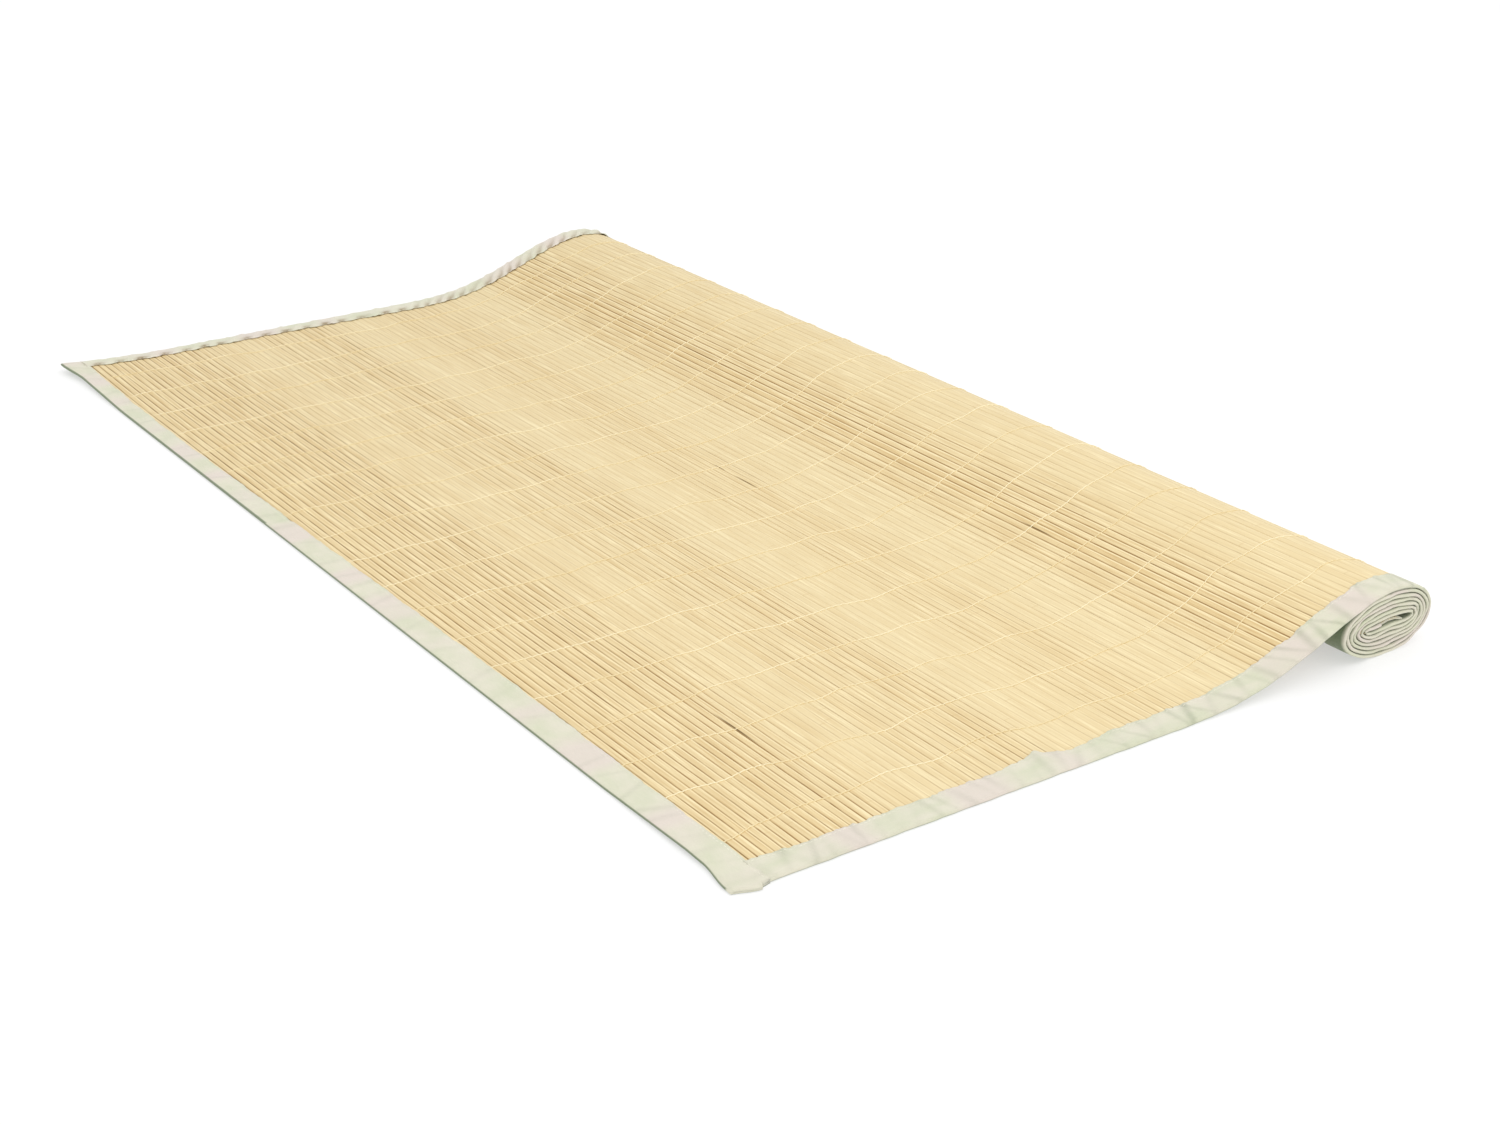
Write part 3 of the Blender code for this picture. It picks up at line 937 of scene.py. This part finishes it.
side = {
    "start": 0.0222,
    "farStart": 0.0158,
    "endGap": 0.0245,
    "fade": 0.05,                  # the creases go on this far past the roll's top, and fade over as much
    "thinOver": 0.10,
    "creaseSeeds": (4, 5),
    "creaseSpacing": 0.012,
    "creaseHeight": 0.00120,
    "slant": 0.014,
    "edgeWave": 0.0012,
    "fineWave": 0.0006,
    "jag": 0.00035,
    "ripple": 0.00012,
    "stitchDip": 0.00024,
    "edgeDrop": 0.00012,
    "pleat": ((0.235, 0.0), (0.248, 0.0020), (0.2695, 0.0060), (0.2935, -0.0062), (0.311, -0.0026),
              (0.335, 0.0)),
    "pleatPlace": 0.284,
    "pleatSlant": 0.014,
    "pleatHeight": 0.0016,
    "pleatFlanks": (0.009, 0.003),
    "cornerWide": 0.0026,
    "cornerPlace": 0.024,
    "cornerReach": 0.014,
    # Painted shade: on the creases' flanks, on the open tape's underside, facing the wedge and between the
    # turns of the roll
    "creaseShade": 0.24,
    "riseShade": 0.26,              # how much more the near tape's creases show on the rise
    "shadeShift": 0.0022,
    "underShade": 0.50,
    "wedgeShade": 0.94,
    "wedgeInnerShade": 0.92,
    "woundShade": 0.74,
    "woundFrom": 0.015,
    "woundOver": 0.03,
    "deepFrom": 0.0004,
    "deepOver": 0.0030,
    "riseStart": 0.36,
    "riseOver": 0.06,
    "foldWave": 0.0004,
    "woundFoldWave": 0.0011,
    "foldReach": 0.006,
    "shutOver": 0.0010,
}

# The far tape is puffed up between its stitches, in slanting bulges
far = {
    "narrow": ((0.0, -0.0062), (0.22, -0.0052), (0.36, 0.0)),
    "pitch": 0.0225,
    "slant": 0.012,
    "riseSlant": 0.008,
    "uneven": 0.005,
    "extraFrom": 0.38,
    "extra": 22.0,                 # more bulges a metre on the rise than on the open part
    "scallop": 0.0011,
    "bulge": 0.0015,
    "edge": 0.0022,
    "edgeWave": 0.0006,
    # Painted shade in the dips between the bulges and along the inner edge
    "flankShade": 0.70,
    "edgeShade": 0.90,
    "shadeMost": 0.95,
}


# The tape is free to crease along the open part and over the roll's outer face
def looseness(along):
    return float(1 - smooth((along - rollStart - side["fade"]) / side["fade"]))


def onRise(along):
    return float(smooth((along - side["riseStart"]) / side["riseOver"]))


def farSwell(along, share):
    slant = far["slant"] + far["riseSlant"] * onRise(along)
    place = along + slant * (share - 0.5) + far["uneven"] * wavy("swell", along)
    extra = far["extra"] * max(place - far["extraFrom"], 0.0)
    return 0.5 + 0.5 * math.cos(2 * math.pi * (place / far["pitch"] + extra))


def sideFlap(along, isFar):
    wave = side["jag"] * math.sin(2 * math.pi * along / mat["slatPitch"] + 2 * wavy("jag", along))
    if isFar:
        wave += float(shareAt(far["narrow"], along))
        swell = far["edge"] * (farSwell(along, 1.0) - 0.6)
        wave += far["edgeWave"] * wavy("farEdge", along) + swell
    else:
        wave += side["edgeWave"] * wavy("nearEdge", along) + float(shareAt(side["pleat"], along))
        wave += side["fineWave"] * wavy("nearFine", along)
        wave += bumpAt(along - side["cornerPlace"], side["cornerReach"], side["cornerWide"])
    return tape["flap"] + wave * looseness(along)


def sideHalf(along):
    least, most = tape["woundHalf"]
    share = float(smooth((along - rollStart + side["thinOver"]) / side["thinOver"]))
    wound = min(max(float(np.interp(along, roomReach, roomHalf)) - tape["spare"], least), most)
    return tape["openHalf"] + (wound - tape["openHalf"]) * share


sideCreases = [Creases(seed, matLength, side["creaseSpacing"], side["creaseHeight"], side["slant"])
               for seed in side["creaseSeeds"]]


# How far a side tape's top stands above its flat height
def sideLift(along, share, isFar):
    flap = sideFlap(along, isFar)
    lift = sideCreases[isFar].at(along, share) + side["ripple"] * wavy("sideRipple", along + share * 0.01)
    lift -= bumpAt(flap - share * flap - tape["stitchInset"], tape["stitchReach"], side["stitchDip"])
    if share > 0.97:
        lift -= side["edgeDrop"]
    if isFar:
        bulge = far["bulge"] * (1 + 0.6 * onRise(along))
        lift += bulge * farSwell(along, share) * math.sin(math.pi * min(share, 0.93))
    else:
        offset = along - side["pleatPlace"] + side["pleatSlant"] * share
        flank = side["pleatFlanks"][0 if offset < 0 else 1]
        lift += bumpAt(offset, flank, side["pleatHeight"]) * (0.3 + 0.7 * share)
    return max(lift * looseness(along), -tape["pressed"])


# Painted shade on the creases' flanks, and in the dips between the far tape's bulges and along its inner edge
def creaseShade(along, share, isFar):
    if isFar:
        dip = (1 - farSwell(along, share)) ** 2
        edge = max(1 - abs(share - 0.86) / 0.34, 0.0)
        uneven = 0.85 + 0.35 * wavy("dip", along)
        flankShade = far["flankShade"] * share * (0.3 + 0.6 * onRise(along))
        flankShade += far["edgeShade"] * edge * (1 - 0.75 * onRise(along))
        return min(dip * uneven * flankShade, far["shadeMost"])
    height = sideCreases[isFar].at(along + side["shadeShift"], share)
    shown = min(height / side["creaseHeight"], 1.2)
    return (side["creaseShade"] + side["riseShade"] * onRise(along)) * shown


# Painted shade on a side tape: where it faces the wedge, where it lies between two turns and, on the open
# part, on its underside
def sideShade(along, place, height, half):
    wound = float(smooth((along - rollStart - side["woundFrom"]) / side["woundOver"]))
    turned = sureShare((place - 0.2 * half) / (0.9 * half)) if abs(height) > 0.3 * half else 0.0
    enter, within, without, leave = wedge
    facing = float(smooth((along - enter) / (within - enter)) * smooth((leave - along) / (leave - without)))
    deep = facing * sureShare((place - side["deepFrom"]) / side["deepOver"])
    if height > 0 and along < leave:
        return side["wedgeShade"] * deep
    if wound == 0.0:
        return side["underShade"] if height < -0.2 * half else 0.0
    return max(side["woundShade"] * turned * wound, side["wedgeInnerShade"] * deep)


def makeSideTape(name, isFar):
    inside = mat["slatThick"] / 2 + tape["slatGap"]
    stations = stationsAlong(side["farStart" if isFar else "start"], matLength - side["endGap"])
    rings, paintedShades = [], []
    for along in stations:
        flap, half, loose = sideFlap(along, isFar), sideHalf(along), looseness(along)
        wobble = side["woundFoldWave" if along > rollStart else "foldWave"]
        wobble = wobble * wavy("farFold" if isFar else "nearFold", along)
        if isFar:
            wobble += far["scallop"] * onRise(along) * (0.5 - farSwell(along, 0.0)) * loose
        opened = min((along - stations[0]) / side["shutOver"], 1.0)
        room = tape["shut"] + min(inside, half - tape["wall"]) * opened
        ring, paintedShade = [], []
        for place, height in tapeRing(flap, half, room, lambda share: sideLift(along, share, isFar)):
            width = place + wobble * max(1 - place / side["foldReach"], 0.0)
            ring.append((along, mat["width"] - width if isFar else width, height))
            flankShade = creaseShade(along, place / flap, isFar) * loose if height > 0 else 0.0
            paintedShade.append(max(sideShade(along, place, height, half), flankShade))
        rings.append(ring)
        paintedShades.append(paintedShade)
    mesh = ringsToMesh(name, rings, stations, paintedShades, farTapeMaterial if isFar else tapeMaterial)
    return finishPiece(name, mesh)


front = {
    "tab": 0.0043,                 # how far the folded end stands out at the near corner
    "tabNarrow": 0.0080,
    "tabFrom": 0.0004,
    "tabOver": 0.0020,
    "tabCuts": (0.0002, 0.0006, 0.0012),
    "foldCuts": (-0.0002, 0.0002),
    "step": 0.0024,
    "innerStep": 0.02,
    "innerInset": 0.001,
    "half": 0.00145,
    "cornerRaise": 0.0013,
    "raiseFrom": 0.010,
    "farRaise": 0.0005,
    "farRaiseFrom": 0.018,
    "raiseReach": 0.010,
    "closed": 0.0014,
    "blunt": 0.45,
    "bluntReach": 0.0012,
    "creaseSeed": 7,
    "creaseSpacing": 0.022,
    "creaseHeight": 0.00036,
    "creaseSlant": 0.012,
    "creaseShift": 0.05,
    # Painted shade on the creases' flanks and on the fold's lower face
    "shadeShift": 0.052,
    "creaseShade": 0.16,
    "underShade": 0.90,
    "narrows": ((0.0, 0.0), (0.25, 0.0018), (0.50, -0.0008), (0.95, -0.0070), (1.20, -0.0060)),
    "edgeWave": 0.0009,
    "fineWave": 0.0004,
    "ripple": 0.0001,
    "stitchDip": 0.00022,
}
frontCreases = Creases(front["creaseSeed"], mat["width"] + 2 * front["creaseShift"],
                       front["creaseSpacing"], front["creaseHeight"], front["creaseSlant"])


def frontFlap(width):
    fine = front["fineWave"] * wavy("frontFine", width)
    wave = front["edgeWave"] * wavy("frontEdge", width) + fine
    wave += float(shareAt(front["narrows"], width))
    inTab = float(smooth((-front["tabFrom"] - width) / front["tabOver"]))
    return tape["flap"] + wave - front["tabNarrow"] * inTab


def frontLift(width, share):
    flap = frontFlap(width)
    pastNear = max(width - front["raiseFrom"], 0.0)
    pastFar = max(mat["width"] - front["farRaiseFrom"] - width, 0.0)
    raised = bumpAt(pastNear, front["raiseReach"], front["cornerRaise"])
    raised = raised + bumpAt(pastFar, front["raiseReach"], front["farRaise"])
    ripple = front["ripple"] * wavy("frontRipple", width + share * 0.01)
    lift = frontCreases.at(width + front["creaseShift"], share) + ripple
    lift += raised * float(smooth((share + 0.05) / 0.25))
    lift -= bumpAt(flap - share * flap - tape["stitchInset"], tape["stitchReach"], front["stitchDip"])
    return max(lift, -tape["pressed"])


# Painted shade on the lower face, which shows as a line along the fold that thickens towards the far side,
# and on the creases' flanks
def frontShade(place, width, height, flap):
    shadedTo = -0.6 if width < 0.002 else 0.55 + 0.4 * float(smooth((width - 0.5) / 0.3))
    if height < min(shadedTo, 0.55 if place > front["half"] else 1.0) * front["half"]:
        return front["underShade"]
    crease = max(frontCreases.at(width + front["shadeShift"], place / flap), 0.0)
    return front["creaseShade"] * crease / front["creaseHeight"]


# The tape across the front edge, or the plain one across the inner end
def makeEndTape(name, isInner):
    inset = front["innerInset"] if isInner else 0.0
    start = inset if isInner else -front["tab"]
    stop = mat["width"] - inset
    count = round((stop - start) / front["innerStep" if isInner else "step"])
    stations = [start + (stop - start) * step / count for step in range(count + 1)]
    if not isInner:
        cuts = [start + cut for cut in front["tabCuts"]]
        stations = sorted(stations + cuts + list(front["foldCuts"]))
    opened = mat["slatThick"] / 2 + tape["slatGap"]
    rings, paintedShades = [], []
    for width in stations:
        flap = tape["flap"] if isInner else frontFlap(width)
        inTab = not isInner and width < 0.0
        edgeRoom = min(width - start, stop - width)
        inside = opened
        if edgeRoom < front["closed"]:
            inside = opened * edgeRoom / front["closed"] + tape["shut"]
        if inTab:
            inside = tape["shut"]
        blunt = 1 - front["blunt"] * max(1 - edgeRoom / front["bluntReach"], 0.0) ** 2
        half = (tape["woundHalf"][0] if isInner else front["half"]) * blunt
        ring, paintedShade = [], []
        for place, height in tapeRing(flap, half, min(inside, half - tape["wall"]),
                                      lambda share: 0.0 if isInner else frontLift(width, share) * blunt,
                                      shut=inTab):
            ring.append((matLength - place if isInner else place, width, height))
            paintedShade.append(0.0 if isInner else frontShade(place, width, height, flap))
        rings.append(ring)
        paintedShades.append(paintedShade)
    return finishPiece(name, ringsToMesh(name, rings, stations, paintedShades, tapeMaterial))


# The sewing: a row of short stitches along the inner edge of each tape

seamRun = {
    "Stitch Pitch": 0.0040,
    "Stitch Length": 0.0029,
    "Arch": 0.00022,
    "Thread Radius": 0.00026,
    "Turn": math.radians(7.0),
    "Seed": 6,
}
seamEnds = {
    "sideStart": 0.028,
    "pastTop": 0.068,              # how far past the top of the roll the stitches show
    "frontInset": 0.004,
    "spare": 0.003,
    "step": 0.001,
}


def makeSeamTree():
    tree, given, result = newTree("seamStitches", seamRun)
    reach = times(tree, given["Stitch Length"], 0.5)
    below = times(tree, given["Arch"], -1.0)
    bend = shape(tree, "CurveQuadraticBezier", {
        "Resolution": 4, "Start": joinXyz(tree, times(tree, reach, -1.0), 0.0, below),
        "Middle": joinXyz(tree, 0.0, 0.0, given["Arch"]), "End": joinXyz(tree, reach, 0.0, below)})
    stitch = tubeAlong(tree, bend, given["Thread Radius"], 4)
    row = shape(tree, "MeshLine", {"Count": given["Count"], "Offset": joinXyz(tree, given["Stitch Pitch"])})
    turn = randomBetween(tree, times(tree, given["Turn"], -1.0), given["Turn"], given["Seed"])
    laid = shape(tree, "InstanceOnPoints",
                 {"Points": row, "Instance": stitch, "Rotation": joinXyz(tree, 0.0, 0.0, turn)})
    real = shape(tree, "RealizeInstances", {"Geometry": laid})
    spot = pointPlace(tree)
    endTree(tree, real, (spot[0], spot[1]), given["Material"], result)
    return tree


# Lays a straight row of stitches on a tape, given its flap and its top at each distance along it
def makeSeam(name, tree, start, stop, flapAt, topAt, setDown):
    count = int((stop - start) / seamRun["Stitch Pitch"])
    mesh = runTree(name, tree, seamRun, count, sewingMaterial)
    places = readPlaces(mesh)
    reach = places[:, 0] + start
    spots = np.arange(start - seamEnds["spare"], stop + seamEnds["spare"], seamEnds["step"])
    flap = np.interp(reach, spots, [flapAt(spot) for spot in spots])
    top = np.interp(reach, spots, [topAt(spot) for spot in spots])
    inward = flap - tape["stitchInset"] + places[:, 1]
    writePlaces(mesh, np.stack(setDown(reach, inward, top + places[:, 2]), -1))
    return finishPiece(name, mesh)


def stitchShare(flap):
    return 1 - tape["stitchInset"] / flap


def makeSideSeam(name, tree, isFar):
    return makeSeam(
        name, tree, seamEnds["sideStart"], rollStart + seamEnds["pastTop"],
        lambda along: sideFlap(along, isFar),
        lambda along: sideHalf(along) + sideLift(along, stitchShare(sideFlap(along, isFar)), isFar),
        lambda reach, inward, height: (reach, mat["width"] - inward if isFar else inward, height))


def makeFrontSeam(name, tree):
    return makeSeam(
        name, tree, seamEnds["frontInset"], mat["width"] - seamEnds["frontInset"], frontFlap,
        lambda width: front["half"] + frontLift(width, stitchShare(frontFlap(width))),
        lambda reach, inward, height: (inward, reach, height))


slats = makeSlats()
warpTree = makeWarpTree()
upperWarp = makeWarpThreads("upperWarpThreads", warpTree, {})
lowerWarp = makeWarpThreads("lowerWarpThreads", warpTree, lowerRun)
nearTape = makeSideTape("nearTape", False)
farTape = makeSideTape("farTape", True)
frontBinding = makeEndTape("frontTape", False)
innerBinding = makeEndTape("innerTape", True)
seamTree = makeSeamTree()
nearSeam = makeSideSeam("nearSeam", seamTree, False)
farSeam = makeSideSeam("farSeam", seamTree, True)
frontSeam = makeFrontSeam("frontSeam", seamTree)


# Each piece rides on the mat; the solids that the pieces stand for are hidden

for piece, slotName in ((slats, "bamboo"), (upperWarp, "near_cloth"), (lowerWarp, "near_cloth"),
                        (nearTape, "near_cloth"), (farTape, "far_cloth"), (frontBinding, "front_cloth"),
                        (innerBinding, "front_cloth"), (nearSeam, "near_cloth"), (farSeam, "far_cloth"),
                        (frontSeam, "front_cloth")):
    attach(piece, "root")
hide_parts("slat_sheet")
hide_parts("near_binding")
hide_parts("far_binding")
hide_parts("front_binding")


# The floor, the light and the camera

studio = {
    "floorSize": 14.0,
    "floorColour": (0.48, 0.48, 0.48, 1.0),
    "floorGlow": 0.505,            # the floor is partly lit from itself, which keeps the shadows faint
    "skyStrength": 1.0,
    "lampPower": 16.5,
    "lampSize": 3.0,
    "lampPlace": (0.4, -1.1, 2.3),
    "cameraPlace": (-1.0132, -1.6109, 0.7719),
    "cameraPitch": math.radians(23.968),
    "cameraYaw": math.radians(55.273),
    "lens": 55.44,
}


def makeFloor():
    half = studio["floorSize"] / 2
    mesh = bpy.data.meshes.new("floor")
    corners = [(-half, -half, 0), (half, -half, 0), (half, half, 0), (-half, half, 0)]
    mesh.from_pydata(corners, [], [(0, 1, 2, 3)])
    material, _, shader = newMaterial("paleFloor", 0.9, 0.1)
    shader.inputs["Base Color"].default_value = studio["floorColour"]
    shader.inputs["Emission Color"].default_value = (1.0, 1.0, 1.0, 1.0)
    shader.inputs["Emission Strength"].default_value = studio["floorGlow"]
    mesh.materials.append(material)
    floor = newPiece("floor", mesh)


def makeLight():
    world = bpy.data.worlds.new("studio")
    world.use_nodes = True
    world.node_tree.nodes["Background"].inputs["Color"].default_value = (1.0, 1.0, 1.0, 1.0)
    world.node_tree.nodes["Background"].inputs["Strength"].default_value = studio["skyStrength"]
    bpy.context.scene.world = world
    lamp = bpy.data.lights.new("softLamp", "AREA")
    lamp.energy = studio["lampPower"]
    lamp.size = studio["lampSize"]
    holder = bpy.data.objects.new("softLamp", lamp)
    holder.location = studio["lampPlace"]
    holder.rotation_euler = (math.atan2(-studio["lampPlace"][1], studio["lampPlace"][2]), 0.0, 0.0)
    bpy.context.scene.collection.objects.link(holder)


def makeCamera():
    lens = bpy.data.cameras.new("camera")
    lens.lens = studio["lens"]
    lens.sensor_width = 36.0
    camera = bpy.data.objects.new("camera", lens)
    camera.location = studio["cameraPlace"]
    camera.rotation_euler = (math.pi / 2 - studio["cameraPitch"], 0.0, studio["cameraYaw"] - math.pi / 2)
    bpy.context.scene.collection.objects.link(camera)
    bpy.context.scene.camera = camera


makeFloor()
makeLight()
makeCamera()
bpy.context.scene.view_settings.view_transform = "Standard"
print("studio made")
